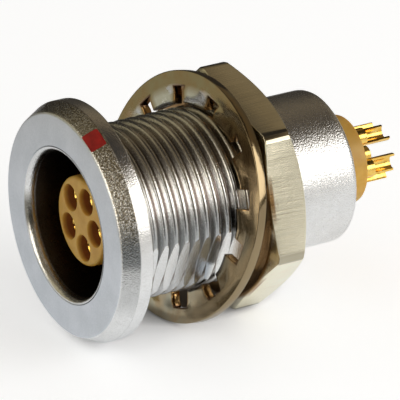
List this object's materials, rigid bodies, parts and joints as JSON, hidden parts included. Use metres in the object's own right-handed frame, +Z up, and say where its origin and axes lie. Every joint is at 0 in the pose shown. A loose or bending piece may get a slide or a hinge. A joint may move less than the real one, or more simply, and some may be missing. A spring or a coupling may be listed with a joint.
{
  "type": "circular panel-mount connector receptacle",
  "caption": "Round panel-mount receptacle with a flanged threaded shell, contacts in an insulator, solder cups, toothed lock washer and hex nut.",
  "frame": {"origin": "on the connector's axis, in the plane of the flange's panel seat", "axes": "+X along the axis from the mating face towards the solder cups, +Z up as the part lies on its side"},
  "size_m": [0.0186, 0.0127, 0.0124],
  "materials": {
    "satin_nickel": "satin nickel plate on turned brass",
    "red_enamel": "red enamel in a shallow recess",
    "spring_bronze": "plated spring strip",
    "amber_polymer": "machined amber engineering polymer",
    "gold_plate": "gold plate on turned brass",
    "washer_nickel": "bright nickel plate on stamped bronze",
    "nut_nickel": "nickel plate over brushed flats"
  },
  "bodies": {
    "receptacle": {"shell": "satin_nickel", "index_mark": "red_enamel", "earthing_crown": "spring_bronze", "retaining_ring": "satin_nickel", "insulator_front": "amber_polymer", "insulator_rear": "amber_polymer", "contact_1": "gold_plate", "contact_2": "gold_plate", "contact_3": "gold_plate", "contact_4": "gold_plate", "contact_5": "gold_plate"},
    "washer": {"lock_washer": "washer_nickel"},
    "nut": {"hex_nut": "nut_nickel"}
  },
  "joints": [
    {"name": "washer_slide", "type": "slide", "parent": "receptacle", "child": "washer", "axis": [-1, 0, 0], "range_m": [-0.001, 0.0032]},
    {"name": "nut_spin", "type": "hinge", "parent": "washer", "child": "nut", "pos_m": [0.0078, 0, 0], "axis": [-1, 0, 0], "range_deg": [-610, 1930]}
  ],
  "couplings": [
    {"joint": "nut_spin", "follows": "washer_slide", "rad_per_m": 10472}
  ]
}
